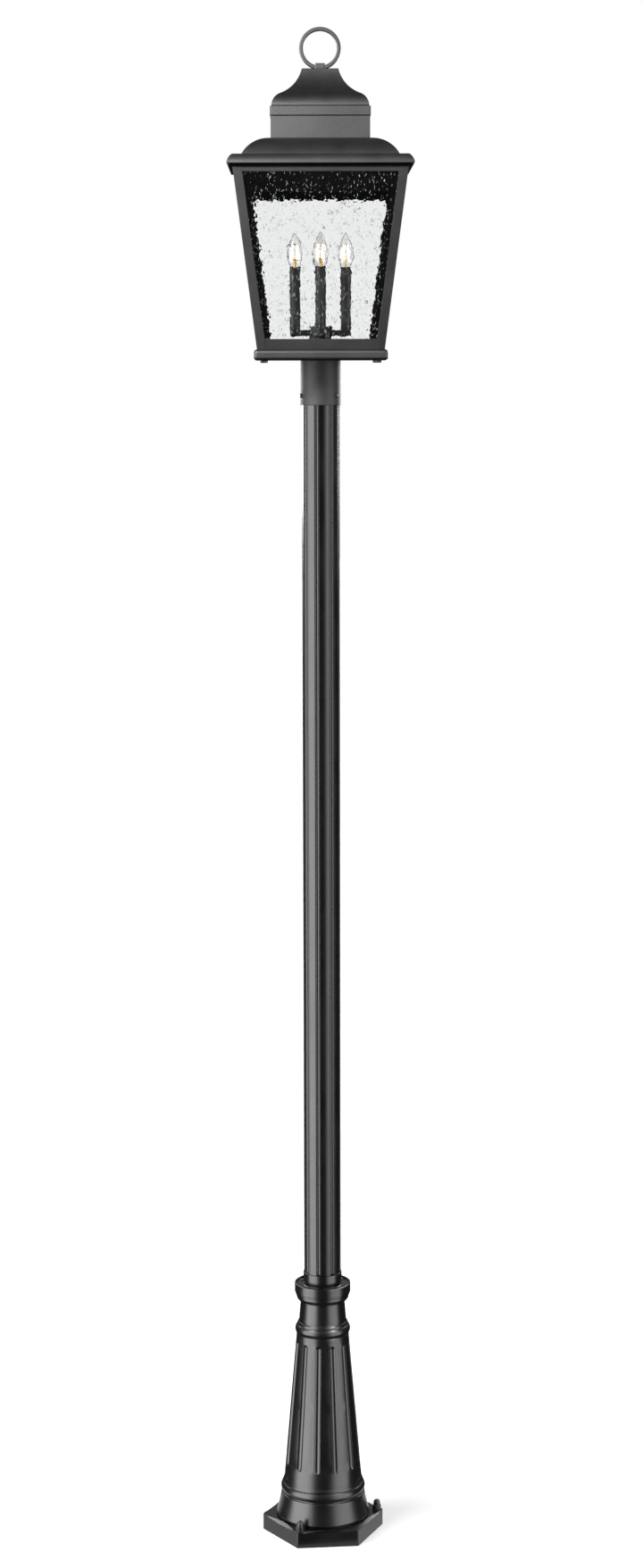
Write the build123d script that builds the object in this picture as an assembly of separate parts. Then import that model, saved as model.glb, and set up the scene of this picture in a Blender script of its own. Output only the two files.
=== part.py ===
from build123d import *
import os
from math import atan2, cos, degrees, hypot, radians, sqrt, tan

os.makedirs("parts", exist_ok=True)

# Four-light post light: a lantern on a fluted pole in a fluted cast base.
# Millimetres, +Z up. The origin is on the ground, on the post's axis.
# The lantern's front pane faces -Y; the post stands turned a little under it.

# Clearances
SLIP = 0.1
BEDDING = 0.3

# How far the base and the pole stand turned under the lantern
BASE_TURN = 5.0
POLE_TURN = 9.0

# Pole
POST_TOP = 2438.4
POLE_R = 38.1
POLE_WALL = 6.0
POLE_BORE_R = POLE_R - POLE_WALL
POLE_FLUTES = 8
POLE_FLUTE_W = 8.6
POLE_FLUTE_DEPTH = 3.5
POLE_FLUTE_EDGE = 0.7

# Anchor bolts, M10 on a 9 inch circle
ANCHOR_COUNT = 3
ANCHOR_CIRCLE = 228.6
ANCHOR_THREAD_R = 5.0
ANCHOR_HOLE_R = ANCHOR_THREAD_R + 1.0
WASHER_BORE_R = ANCHOR_THREAD_R + 0.4
WASHER_T = 2.0
NUT_FLATS = 16.0
NUT_HEX_H = 8.5
NUT_H = 20.5
NUT_CROWN_T = 7.5
NUT_DOME_R = ANCHOR_THREAD_R + 1.9
WASHER_R = NUT_FLATS / 2 + 1.6

# Base casting: the foot and skirt follow from the anchor circle, the upper stages from the pole
FOOT_EDGE = 12.7
FOOT_CORNERS = ANCHOR_CIRCLE + 2 * FOOT_EDGE
FOOT_FLATS_HALF = FOOT_CORNERS / 2 * cos(radians(30))
FOOT_H = 33.5
FOOT_CORNER_ROUND = 2.5
FOOT_DECK_T = 7.0
SCALLOP_END = 11.5
SCALLOP_SPAN = FOOT_CORNERS / 2 - 2 * SCALLOP_END
SCALLOP_REACH = 9.3
SCALLOP_STEP = 0.8
SCALLOP_FALL = 2.6
SKIRT_SETBACK = 12.4
SKIRT_H = 50.0
SKIRT_FOOT_R = FOOT_FLATS_HALF - SKIRT_SETBACK
SKIRT_TAPER = 10.4
SKIRT_TOP_R = SKIRT_FOOT_R - SKIRT_TAPER
SKIRT_ROLL_R = 6.5
FOOT_BORE_R = SKIRT_FOOT_R - 9.6
LOWER_BEAD_H = 32.5
LOWER_BEAD_R = SKIRT_TOP_R + 1.0
CONE_H = 312.0
CONE_BOTTOM_R = LOWER_BEAD_R - 7.2
CONE_TOP_R = POLE_R + 16.4
UPPER_BEAD_H = 30.0
UPPER_BEAD_R = CONE_TOP_R + 3.0
NECK_H = 41.5
NECK_TOP_R = POLE_R + 7.7
NECK_BOTTOM_R = NECK_TOP_R + 3.4
CUP_FLARE_H = 17.0
CUP_WALL_H = 21.5
CUP_R = POLE_R + 20.0
CUP_RIM_T = 3.0
CUP_DEPTH = 9.0
CUP_FLOOR_T = 10.0
CAST_WALL = 6.3

# Flutes of the base casting
CONE_FLUTES = 12
CONE_FLUTE_TOP_W = 12.2
CONE_FLUTE_BOTTOM_W = 13.6
CONE_FLUTE_DEPTH = 3.5
CONE_FLUTE_TOP_LAND = 20.0
CONE_FLUTE_BOTTOM_LAND = 36.0

# Collar round the pole's foot, screwed into the cup
FOOT_COLLAR_WALL = 1.6
FOOT_COLLAR_H = 32.0
FOOT_FLANGE_T = 5.5
FOOT_SCREWS = 3
FOOT_SCREW_OUT = 9.9
FOOT_SCREW_CIRCLE = 2 * (POLE_R + FOOT_SCREW_OUT)
FOOT_SCREW_R = 2.4
FOOT_SCREW_HEAD_R = 4.2
FOOT_SCREW_HEAD_H = 2.6
FOOT_SCREW_GRIP = 12.0

# Threaded tube through the tray, and its locknuts
NIPPLE_R = 6.3
NIPPLE_BORE_R = 4.3
LOCKNUT_FLATS = 20.0
LOCKNUT_T = 4.0

# Fitter collar that drops over the pole's top
FITTER_H = 88.0
FITTER_PLAY = 0.4
FITTER_WALL = 1.5
FITTER_TAPER = 1.1
FITTER_BORE_R = POLE_R + FITTER_PLAY
FITTER_TOP_R = FITTER_BORE_R + FITTER_WALL
FITTER_BOTTOM_R = FITTER_TOP_R + FITTER_TAPER
FITTER_SHOULDER_T = 3.2
WIRE_HOLE_R = 0.7 * LOCKNUT_FLATS
SET_SCREWS = 3
SET_SCREW_R = 2.5
SET_SCREW_POINT_R = 1.2
SET_SCREW_POINT_L = 0.4
SET_SCREW_HEAD_R = 4.4
SET_SCREW_HEAD_H = 2.9
SET_SCREW_UP = 19.0
SET_SCREW_FIRST_ANGLE = 198.5

# Lantern frame, leaning outward as it rises
FRAME_BOTTOM_HALF = 124.7
FRAME_H = 354.6
FRAME_LEAN = 7.3
FRAME_TOP_HALF = FRAME_BOTTOM_HALF + FRAME_H * tan(radians(FRAME_LEAN))
FRAME_FACE_W = 17.5
FRAME_T = 5.0
RAIL_SETBACK = 0.9
TOP_RAIL_H = 17.2
BOTTOM_RAIL_H = 20.0
CORNER_BLOCK_H = 9.0

# Studs and the knobs under the tray
STUD_R = 2.0
STUD_INSET = 12.3
STUD_AT = FRAME_BOTTOM_HALF - STUD_INSET
STUD_BELOW = 3.0
KNOB_R = 6.6
KNOB_H = 4.4
KNOB_DEPTH = 3.2

# Tray under the frame
TRAY_LEDGE = 6.6
TRAY_HALF = FRAME_BOTTOM_HALF + TRAY_LEDGE
TRAY_T = 21.6
TRAY_NOSE_R = 7.0
TRAY_CORNER_R = 7.0
TRAY_SEAT_W = 23.5
TRAY_WELL_HALF = FRAME_BOTTOM_HALF - TRAY_SEAT_W
TRAY_FLOOR_T = 4.0

# Glass and the strips that hold it
GLASS_T = 3.0
GLASS_LIFT = 0.3
GLASS_TOP_GAP = 3.0
STRIP_T = 1.2
STRIP_SIDE_SHOW = 11.0
STRIP_TOP_SHOW = 38.0

# Roof pan over the frame: eave, ledge, then a convex quarter-round
EAVE_OVERHANG = 10.0
RIM_HALF = FRAME_TOP_HALF + EAVE_OVERHANG
RIM_H = 17.8
RIM_LIP_H = 3.0
RIM_LIP_T = 4.0
RIM_NOSE = 10.3
RIM_TOP_HALF = RIM_HALF - RIM_NOSE
RIM_NOSE_BULGE = 1.6
SOFFIT_RECESS = 2.0
SKIRT_RING_T = 2.0
SKIRT_RING_DROP = 6.5
SKIRT_RING_GAP = 0.8
LEDGE_W = 17.2
ROOF_FOOT_HALF = RIM_TOP_HALF - LEDGE_W
ROOF_ARC_R = 64.1
ROOF_ARC_REACH = 57.1
ROOF_ARC_X = ROOF_FOOT_HALF - ROOF_ARC_REACH
ROOF_SHEET = 2.5

# Chimney, band and ogee cap
CHIMNEY_LAP = 1.0
CHIMNEY_HALF = ROOF_ARC_X + CHIMNEY_LAP
CHIMNEY_WALL = 4.5
CHIMNEY_H = 60.4
ROOF_HOLE_HALF = CHIMNEY_HALF - 11.2
BAND_H = 17.0
BAND_T = 1.2
CAP_SETBACK = 1.6
CAP_HALF = CHIMNEY_HALF - CAP_SETBACK
CAP_H = 76.8
CAP_REACH = 59.2
CAP_TOP_HALF = CAP_HALF - CAP_REACH
CAP_SHOULDER_R = 29.0
CAP_SWEEP_R = 73.0
CAP_SHEET = 2.2
CAP_TOP_T = 3.0
CAP_EDGE_R = 1.5

# Ring on the cap
LUG_W = 19.4
LUG_D = 12.0
LUG_H = 13.0
LUG_EDGE_R = 1.2
RING_R = 41.0
RING_BAND = 7.8
RING_DEPTH = 9.0
RING_EDGE_R = 1.8

# Candle cluster
HUB_R = 21.7
HUB_WALL = 2.0
HUB_LID_R = HUB_R + 1.0
HUB_LID_T = 4.0
HUB_RISE = 4.0
CANDLES = 4
CANDLE_CIRCLE = 101.0
CANDLE_R = 10.4
CANDLE_WALL = 0.9
CANDLE_H = 123.0
ARM_H = 12.0
ARM_W = 16.0
ARM_ABOVE_TRAY = 26.6
ARM_EDGE_R = 1.5
HUB_TOP_ABOVE_TRAY = ARM_ABOVE_TRAY + ARM_H + HUB_RISE
SOCKET_GAP = 0.3
SOCKET_DROP = 2.0
SOCKET_FIT = 0.2
SOCKET_FLOOR_GAP = 0.5

# Bulb
BULB_R = 15.5
BULB_H = 68.0
BULB_BELLY_UP = 0.39 * BULB_H
BULB_GLASS_T = 0.9
BULB_TIP_T = 1.6
BULB_PLAY = 0.6
BULB_NECK_R = CANDLE_R - CANDLE_WALL - BULB_PLAY
BULB_BASE_R = 5.9
BULB_BASE_H = 16.5
BULB_CONTACT_R = 2.4
BULB_CONTACT_H = 1.4
BULB_FLANGE_T = 1.6
SOCKET_DEPTH = BULB_BASE_H + SOCKET_FLOOR_GAP
STEM_R = 2.3
STEM_H = 0.218 * BULB_H
FILAMENTS = 4
FILAMENT_R = 1.0
FILAMENT_H = 0.43 * BULB_H
FILAMENT_CIRCLE = 11.6
SPIDER_R = FILAMENT_CIRCLE / 2 + 1.25
SPIDER_T = 0.8

# Levels worked out from the sizes above
Z_SKIRT = FOOT_H + SKIRT_H
Z_CONE = Z_SKIRT + LOWER_BEAD_H
Z_UPPER_BEAD = Z_CONE + CONE_H
Z_NECK = Z_UPPER_BEAD + UPPER_BEAD_H
Z_FLARE = Z_NECK + NECK_H
Z_CUP = Z_FLARE + CUP_FLARE_H
Z_RIM = Z_CUP + CUP_WALL_H
Z_CUP_FLOOR = Z_RIM - CUP_DEPTH
Z_TRAY = POST_TOP + FITTER_SHOULDER_T
Z_FRAME = Z_TRAY + TRAY_T
Z_SOFFIT = Z_FRAME + FRAME_H
Z_LIP = Z_SOFFIT - SOFFIT_RECESS
Z_LEDGE = Z_LIP + RIM_H
ROOF_ARC_Z = Z_LEDGE - sqrt(ROOF_ARC_R**2 - ROOF_ARC_REACH**2)
Z_ROOF = ROOF_ARC_Z + ROOF_ARC_R
Z_BAND = Z_ROOF + CHIMNEY_H - BAND_H
Z_CAP = Z_ROOF + CHIMNEY_H
Z_CAP_TOP = Z_CAP + CAP_H
Z_ARM = Z_FRAME + ARM_ABOVE_TRAY
Z_CANDLE = Z_ARM + ARM_H
Z_CANDLE_TOP = Z_CANDLE + CANDLE_H
Z_SOCKET_TOP = Z_CANDLE_TOP - SOCKET_DROP
FRONT = -90.0


def save(shape, node):
    shape.label = node
    export_step(shape, f"parts/{node}.step")


def outline(start, steps):
    """A closed face from a start point and steps of (x, z, bulge); a bulge of 0 is a straight line."""
    edges = []
    here = start
    for x, z, bulge in steps:
        there = (x, z)
        edges.append(SagittaArc(here, there, bulge) if bulge else Line(here, there))
        here = there
    edges.append(Line(here, start))
    return make_face(Plane.XZ * Curve(edges))


def turned(start, steps):
    return revolve(outline(start, steps), Axis.Z)


def round_about(shape, count, first=0.0):
    return [Rot(0, 0, first + k * 360 / count) * shape for k in range(count)]


def disc(radius, low, high):
    return Pos(0, 0, low) * Cylinder(radius, high - low, align=(Align.CENTER, Align.CENTER, Align.MIN))


def standing_box(width, depth, low, high):
    return Pos(0, 0, (low + high) / 2) * Box(width, depth, high - low)


def cone_r(z):
    """Radius of the base casting's tapered stage at a height."""
    return CONE_BOTTOM_R + (CONE_TOP_R - CONE_BOTTOM_R) * (z - Z_CONE) / CONE_H


def groove_r(width, depth):
    """Radius of a round-bottomed groove of this width and depth."""
    return (width**2 / 4 + depth**2) / (2 * depth)


def arc_sag(radius, dx, dz):
    """How far an arc of this radius bulges from a chord with this run and rise."""
    return radius - sqrt(radius**2 - hypot(dx, dz) ** 2 / 4)


def frame_half(z):
    """Half-width of the leaning frame's outside at a height."""
    return FRAME_BOTTOM_HALF + (z - Z_FRAME) * tan(radians(FRAME_LEAN))


def leaning_box(x_in, x_out, y_in, y_out, low, high):
    """A bar that leans with the frame at its front right corner, set in from the frame's outside."""
    sections = []
    for z in (low, high):
        half = frame_half(z)
        x = half - (x_in + x_out) / 2
        y = -half + (y_in + y_out) / 2
        sections.append(Pos(x, y, z) * Rectangle(x_in - x_out, y_in - y_out))
    return loft(sections, ruled=True)


def leaning_panel(side, y_out, y_in, low, high):
    """A flat panel in the frame's front face, set in from the frame's sides and face."""
    sections = []
    for z in (low, high):
        half = frame_half(z)
        y = -half + (y_in + y_out) / 2
        sections.append(Pos(0, y, z) * Rectangle(2 * (half - side), y_in - y_out))
    return loft(sections, ruled=True)


def four_sided(face):
    """A body whose every level is a square as wide as the face, with mitred corners."""
    length = 4 * RIM_HALF
    run = extrude(face, amount=length / 2, both=True)
    return run & (Rot(0, 0, 90) * run)


def square_tube(outer, inner, low, high):
    return standing_box(2 * outer, 2 * outer, low, high) - standing_box(2 * inner, 2 * inner, low, high)


# Base casting


def base_outside():
    groove = SKIRT_TOP_R - 2.0
    roll = LOWER_BEAD_R - 3.4
    neck_roll = UPPER_BEAD_R - 3.9
    roll_z = FOOT_H + SKIRT_ROLL_R
    roll_in = SKIRT_FOOT_R - SKIRT_ROLL_R * 0.6
    steps = [
        (roll_in, FOOT_H - 2.0, 0),
        (roll_in, FOOT_H, 0),
        (SKIRT_FOOT_R, roll_z, -1.3),
        (SKIRT_TOP_R + 0.5, Z_SKIRT - 1.5, 1.2),
        (SKIRT_TOP_R - 0.7, Z_SKIRT, -0.5),
        (groove, Z_SKIRT + 0.02 * LOWER_BEAD_H, 0),
        (groove, Z_SKIRT + 0.08 * LOWER_BEAD_H, 0),
        (roll, Z_SKIRT + 0.6 * LOWER_BEAD_H, -(LOWER_BEAD_R - roll) * 0.92),
        (roll - 1.2, Z_SKIRT + 0.625 * LOWER_BEAD_H, 0),
        (CONE_BOTTOM_R + 1.3, Z_SKIRT + 0.846 * LOWER_BEAD_H, -0.9),
        (CONE_BOTTOM_R, Z_CONE, 0.5),
        (CONE_TOP_R, Z_UPPER_BEAD, 0),
        (CONE_TOP_R - 0.9, Z_UPPER_BEAD + 0.04 * UPPER_BEAD_H, 0),
        (neck_roll, Z_UPPER_BEAD + 0.65 * UPPER_BEAD_H, -(UPPER_BEAD_R - neck_roll)),
        (neck_roll - 0.9, Z_UPPER_BEAD + 0.673 * UPPER_BEAD_H, 0),
        (NECK_BOTTOM_R + 1.2, Z_UPPER_BEAD + 0.883 * UPPER_BEAD_H, -0.9),
        (NECK_BOTTOM_R, Z_NECK, 0.6),
        (NECK_TOP_R, Z_FLARE, 0),
        (CUP_R - 3.8, Z_CUP - 4.4, -3.2),
        (CUP_R - 3.8, Z_CUP - 2.6, 0),
        (CUP_R - 1.6, Z_CUP - 2.2, 0),
        (CUP_R - 1.6, Z_CUP + 1.6, 0),
        (CUP_R, Z_CUP + 2.4, 0),
        (CUP_R, Z_RIM - 1.2, 0),
        (CUP_R - 1.2, Z_RIM, -0.35),
        (0, Z_RIM, 0),
    ]
    return turned((0, FOOT_H - 2.0), steps)


def base_hollow():
    neck_bore = NECK_TOP_R - CAST_WALL + 0.8
    steps = [
        (FOOT_BORE_R, -1.0, 0),
        (FOOT_BORE_R, FOOT_H - FOOT_DECK_T, 0),
        (SKIRT_TOP_R - CAST_WALL, Z_SKIRT, 0),
        (CONE_BOTTOM_R - CAST_WALL, Z_CONE, 0),
        (CONE_TOP_R - CAST_WALL, Z_UPPER_BEAD, 0),
        (neck_bore, Z_NECK, 0),
        (neck_bore, Z_CUP_FLOOR - CUP_FLOOR_T, 0),
        (0, Z_CUP_FLOOR - CUP_FLOOR_T, 0),
    ]
    bore = disc(POLE_BORE_R, Z_NECK, Z_RIM)
    cup = disc(CUP_R - CUP_RIM_T, Z_CUP_FLOOR, Z_RIM + 1)
    return [turned((0, -1.0), steps), bore, cup]


def scallops():
    """The shallow crescents cut into the deck along the foot's six sides."""
    arc_r = ((SCALLOP_SPAN / 2) ** 2 + SCALLOP_REACH**2) / (2 * SCALLOP_REACH)
    axis_r = FOOT_FLATS_HALF - SCALLOP_REACH + arc_r
    inner = arc_r - 3 * SCALLOP_REACH
    low = FOOT_H - SCALLOP_STEP
    drop = 3 * SCALLOP_FALL
    steps = [(arc_r, FOOT_H + 1, 0), (inner, FOOT_H + 1, 0), (inner, low - drop, 0)]
    scoop = Pos(axis_r, 0, 0) * turned((arc_r, low), steps)
    return round_about(scoop, 6, first=30)


def cone_flutes():
    """One round-bottomed flute with round ends, laid along the taper, and its copies."""
    top_r = groove_r(CONE_FLUTE_TOP_W, CONE_FLUTE_DEPTH)
    bottom_r = groove_r(CONE_FLUTE_BOTTOM_W, CONE_FLUTE_DEPTH)
    high = Z_UPPER_BEAD - CONE_FLUTE_TOP_LAND
    low = Z_CONE + CONE_FLUTE_BOTTOM_LAND
    top_x = cone_r(high) + top_r - CONE_FLUTE_DEPTH
    bottom_x = cone_r(low) + bottom_r - CONE_FLUTE_DEPTH
    length = hypot(top_x - bottom_x, high - low)
    lean = degrees(atan2(top_x - bottom_x, high - low))
    core = Cone(bottom_r, top_r, length, align=(Align.CENTER, Align.CENTER, Align.MIN))
    flute = Pos(bottom_x, 0, low) * Rot(0, lean, 0) * core
    flute += Pos(bottom_x, 0, low) * Sphere(bottom_r)
    flute += Pos(top_x, 0, high) * Sphere(top_r)
    return round_about(flute, CONE_FLUTES, first=FRONT + 180 / CONE_FLUTES)


def base_casting():
    foot = extrude(RegularPolygon(FOOT_CORNERS / 2, 6), amount=FOOT_H)
    foot = fillet(foot.edges().filter_by(Axis.Z), FOOT_CORNER_ROUND)
    foot -= scallops()
    body = foot + base_outside()
    body -= cone_flutes()
    for cut in base_hollow():
        body -= cut
    anchor = Pos(ANCHOR_CIRCLE / 2, 0, 0) * disc(ANCHOR_HOLE_R, -1, FOOT_H + 1)
    body -= round_about(anchor, ANCHOR_COUNT)
    grip = disc(FOOT_SCREW_R + SLIP, Z_CUP_FLOOR - FOOT_SCREW_GRIP, Z_RIM)
    body -= round_about(Pos(FOOT_SCREW_CIRCLE / 2, 0, 0) * grip, FOOT_SCREWS, first=FRONT)
    return body


def anchor_washers():
    ring = disc(WASHER_R, FOOT_H, FOOT_H + WASHER_T) - disc(WASHER_BORE_R, FOOT_H, FOOT_H + WASHER_T)
    return Compound(round_about(Pos(ANCHOR_CIRCLE / 2, 0, 0) * ring, ANCHOR_COUNT))


def anchor_nuts():
    """Domed cap nuts: a hexagon, a short shoulder and a round top."""
    low = FOOT_H + WASHER_T
    half, shoulder = NUT_FLATS / 2, low + NUT_HEX_H
    flats = extrude(Pos(0, 0, low) * RegularPolygon(half, 6, major_radius=False), amount=NUT_HEX_H)
    chamfered = turned((0, low), [(half + 0.9, low, 0), (half + 0.9, shoulder - 1.2, 0),
                                  (half - 0.8, shoulder, 0), (0, shoulder, 0)])
    dome_z = low + NUT_H - NUT_DOME_R
    nut = (flats & chamfered) + disc(NUT_DOME_R, shoulder, dome_z) + Pos(0, 0, dome_z) * Sphere(NUT_DOME_R)
    nut -= disc(ANCHOR_THREAD_R, low - 1, low + NUT_H - NUT_CROWN_T)
    return Compound(round_about(Pos(ANCHOR_CIRCLE / 2, 0, 0) * nut, ANCHOR_COUNT))


# Pole and its foot collar


def pole():
    radius = groove_r(POLE_FLUTE_W, POLE_FLUTE_DEPTH)
    hollow = Pos(POLE_R - POLE_FLUTE_DEPTH + radius, 0) * Circle(radius)
    section = Circle(POLE_R)
    for flute in round_about(hollow, POLE_FLUTES, first=FRONT + 180 / POLE_FLUTES + POLE_TURN):
        section -= flute
    section = fillet(section.vertices(), POLE_FLUTE_EDGE)
    section -= Circle(POLE_BORE_R)
    return extrude(Pos(0, 0, Z_CUP_FLOOR) * section, amount=POST_TOP - Z_CUP_FLOOR)


def pole_foot_collar():
    bore = POLE_R + SLIP
    sleeve = bore + FOOT_COLLAR_WALL
    flange = CUP_R - CUP_RIM_T - BEDDING
    low, deck, top = Z_CUP_FLOOR, Z_CUP_FLOOR + FOOT_FLANGE_T, Z_CUP_FLOOR + FOOT_COLLAR_H
    steps = [(flange, low, 0), (flange, deck - 0.8, 0), (flange - 0.8, deck, 0), (sleeve + 1.5, deck, 0),
             (sleeve, deck + 1.5, 0.4), (sleeve, top - 0.6, 0), (sleeve - 0.6, top, 0), (bore, top, 0)]
    collar = turned((bore, low), steps)
    hole = Pos(FOOT_SCREW_CIRCLE / 2, 0, 0) * disc(FOOT_SCREW_R + SLIP, low - 1, deck + 1)
    for cut in round_about(hole, FOOT_SCREWS, first=FRONT):
        collar -= cut
    return collar


def pan_screw(shank_r, head_r, head_h, grip, seat):
    """A screw standing on its seat height, head up, with a low domed head."""
    steps = [(shank_r, seat - grip, 0), (shank_r, seat, 0), (head_r, seat, 0),
             (head_r, seat + head_h * 0.35, 0), (head_r * 0.45, seat + head_h, -head_h * 0.16),
             (0, seat + head_h, 0)]
    return turned((0, seat - grip), steps)


def foot_collar_screws():
    seat = Z_CUP_FLOOR + FOOT_FLANGE_T
    grip = FOOT_FLANGE_T + FOOT_SCREW_GRIP - 1
    screw = pan_screw(FOOT_SCREW_R, FOOT_SCREW_HEAD_R, FOOT_SCREW_HEAD_H, grip, seat)
    return Compound(round_about(Pos(FOOT_SCREW_CIRCLE / 2, 0, 0) * screw, FOOT_SCREWS, first=FRONT))


# Fitter collar, tray and what clamps them


def fitter_r(z):
    return FITTER_BOTTOM_R + (FITTER_TOP_R - FITTER_BOTTOM_R) * (z - Z_TRAY + FITTER_H) / FITTER_H


def fitter_collar():
    low = Z_TRAY - FITTER_H
    steps = [(FITTER_BOTTOM_R - 0.6, low, 0), (FITTER_BOTTOM_R, low + 0.6, 0), (FITTER_TOP_R, Z_TRAY, 0),
             (WIRE_HOLE_R, Z_TRAY, 0), (WIRE_HOLE_R, Z_TRAY - FITTER_SHOULDER_T, 0),
             (FITTER_BORE_R, Z_TRAY - FITTER_SHOULDER_T, 0)]
    collar = turned((FITTER_BORE_R, low), steps)
    hole = Pos(0, 0, low + SET_SCREW_UP) * Rot(0, 90, 0) * disc(SET_SCREW_R + SLIP, 0, 2 * FITTER_BOTTOM_R)
    for cut in round_about(hole, SET_SCREWS, first=SET_SCREW_FIRST_ANGLE):
        collar -= cut
    return collar


def set_screw(index):
    z = Z_TRAY - FITTER_H + SET_SCREW_UP
    seat = fitter_r(z) + BEDDING
    point = POLE_R + SLIP
    head = seat + SET_SCREW_HEAD_H
    steps = [(SET_SCREW_POINT_R, point, 0), (SET_SCREW_R, point + SET_SCREW_POINT_L, 0),
             (SET_SCREW_R, seat, 0), (SET_SCREW_HEAD_R, seat, 0),
             (SET_SCREW_HEAD_R, seat + SET_SCREW_HEAD_H * 0.4, 0),
             (SET_SCREW_HEAD_R * 0.5, head, -SET_SCREW_HEAD_H * 0.15), (0, head, 0)]
    screw = Pos(0, 0, z) * Rot(0, 90, 0) * turned((0, point), steps)
    return Rot(0, 0, SET_SCREW_FIRST_ANGLE + index * 360 / SET_SCREWS) * screw


def stud_places():
    return [Pos(x * STUD_AT, y * STUD_AT, 0) for y in (-1, 1) for x in (-1, 1)]


def tray():
    slab = standing_box(2 * TRAY_HALF, 2 * TRAY_HALF, Z_TRAY, Z_FRAME)
    slab = fillet(slab.edges().filter_by(Axis.Z), TRAY_CORNER_R)
    flats = slab.faces().sort_by(Axis.Z)
    slab = fillet(flats[0].edges() + flats[-1].edges(), TRAY_NOSE_R)
    well = standing_box(2 * TRAY_WELL_HALF, 2 * TRAY_WELL_HALF, Z_TRAY + TRAY_FLOOR_T, Z_FRAME + 1)
    slab -= fillet(well.edges().filter_by(Axis.Z), TRAY_CORNER_R)
    slab -= disc(NIPPLE_R + SLIP, Z_TRAY - 1, Z_FRAME)
    for place in stud_places():
        slab -= place * disc(STUD_R + BEDDING, Z_TRAY - 1, Z_FRAME + 1)
    return slab


def knob_nut(place):
    low = Z_TRAY - KNOB_H
    steps = [(KNOB_R * 0.5, low, 0), (KNOB_R, Z_TRAY - KNOB_H * 0.35, -KNOB_H * 0.22), (KNOB_R, Z_TRAY, 0),
             (0, Z_TRAY, 0)]
    knob = turned((0, low), steps)
    return place * (knob - disc(STUD_R + SLIP, Z_TRAY - KNOB_DEPTH, Z_TRAY + 1))


def corner_studs():
    stud = disc(STUD_R, Z_TRAY - STUD_BELOW, Z_FRAME + CORNER_BLOCK_H - 1.0)
    return Compound([place * stud for place in stud_places()])


# Frame, glass and strips, modelled at the front and turned to the other sides


def corner_post():
    """An angle bar that leans with the frame, with a block for the stud at its foot."""
    post = leaning_box(FRAME_FACE_W, 0, FRAME_T, 0, Z_FRAME, Z_SOFFIT)
    post += leaning_box(FRAME_T, 0, FRAME_FACE_W, 0, Z_FRAME, Z_SOFFIT)
    post += leaning_box(FRAME_FACE_W, 0, FRAME_FACE_W, 0, Z_FRAME, Z_FRAME + CORNER_BLOCK_H)
    stud = disc(STUD_R + SLIP, Z_FRAME - 1, Z_FRAME + CORNER_BLOCK_H - 0.8)
    return post - Pos(STUD_AT, -STUD_AT, 0) * stud


def top_rail():
    return leaning_panel(FRAME_FACE_W, RAIL_SETBACK, FRAME_T, Z_SOFFIT - TOP_RAIL_H, Z_SOFFIT)


def bottom_rail():
    return leaning_panel(FRAME_FACE_W, RAIL_SETBACK, FRAME_T, Z_FRAME, Z_FRAME + BOTTOM_RAIL_H)


def glass_pane():
    out = FRAME_T + GLASS_LIFT
    side = out + GLASS_T + GLASS_LIFT
    low, high = Z_FRAME + CORNER_BLOCK_H + GLASS_LIFT, Z_SOFFIT - GLASS_TOP_GAP
    return leaning_panel(side, out, out + GLASS_T, low, high)


def glass_strips():
    """Thin flat strips behind each pane's edges, deeper along the top."""
    out = FRAME_T + GLASS_T + 2 * GLASS_LIFT
    side = out + STRIP_T + GLASS_LIFT
    low, high = Z_FRAME + CORNER_BLOCK_H + GLASS_LIFT, Z_SOFFIT - GLASS_TOP_GAP
    sheet = leaning_panel(side, out, out + STRIP_T, low, high)
    window = leaning_panel(FRAME_FACE_W + STRIP_SIDE_SHOW, out - 1, out + STRIP_T + 1,
                           Z_FRAME + BOTTOM_RAIL_H, Z_SOFFIT - TOP_RAIL_H - STRIP_TOP_SHOW)
    return Compound(round_about(sheet - window, 4))


# Roof


def roof_pan():
    """A square pan: flat eave with a rounded nose, and a convex quarter-round up to the chimney."""
    lip_z = Z_LIP + RIM_LIP_H
    sag = arc_sag(ROOF_ARC_R, ROOF_ARC_REACH, Z_ROOF - Z_LEDGE)
    right = [(RIM_HALF, Z_LIP, 0), (RIM_HALF, lip_z, 0), (RIM_TOP_HALF, Z_LEDGE, -RIM_NOSE_BULGE),
             (ROOF_FOOT_HALF, Z_LEDGE, 0), (ROOF_ARC_X, Z_ROOF, -sag), (-ROOF_ARC_X, Z_ROOF, 0)]
    left = [(-ROOF_FOOT_HALF, Z_LEDGE, -sag), (-RIM_TOP_HALF, Z_LEDGE, 0),
            (-RIM_HALF, lip_z, -RIM_NOSE_BULGE), (-RIM_HALF, Z_LIP, 0)]
    pan = four_sided(outline((0, Z_LIP), right + left))
    foot = ROOF_FOOT_HALF - ROOF_SHEET
    under = Z_ROOF - ROOF_SHEET
    arc_r = ROOF_ARC_R - ROOF_SHEET
    foot_z = ROOF_ARC_Z + sqrt(arc_r**2 - (foot - ROOF_ARC_X) ** 2)
    sag = arc_sag(arc_r, foot - ROOF_ARC_X, under - foot_z)
    hollow = [(foot, Z_SOFFIT, 0), (foot, foot_z, 0), (ROOF_ARC_X, under, -sag), (-ROOF_ARC_X, under, 0),
              (-foot, foot_z, -sag), (-foot, Z_SOFFIT, 0)]
    pan -= four_sided(outline((0, Z_SOFFIT), hollow))
    recess = RIM_HALF - RIM_LIP_T
    pan -= standing_box(2 * recess, 2 * recess, Z_SOFFIT - 2 * SOFFIT_RECESS, Z_SOFFIT)
    pan -= standing_box(2 * ROOF_HOLE_HALF, 2 * ROOF_HOLE_HALF, under - 1, Z_ROOF + 1)
    ring = FRAME_TOP_HALF + SKIRT_RING_GAP
    return pan + square_tube(ring + SKIRT_RING_T, ring, Z_SOFFIT - SKIRT_RING_DROP, Z_SOFFIT + 0.5)


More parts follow.
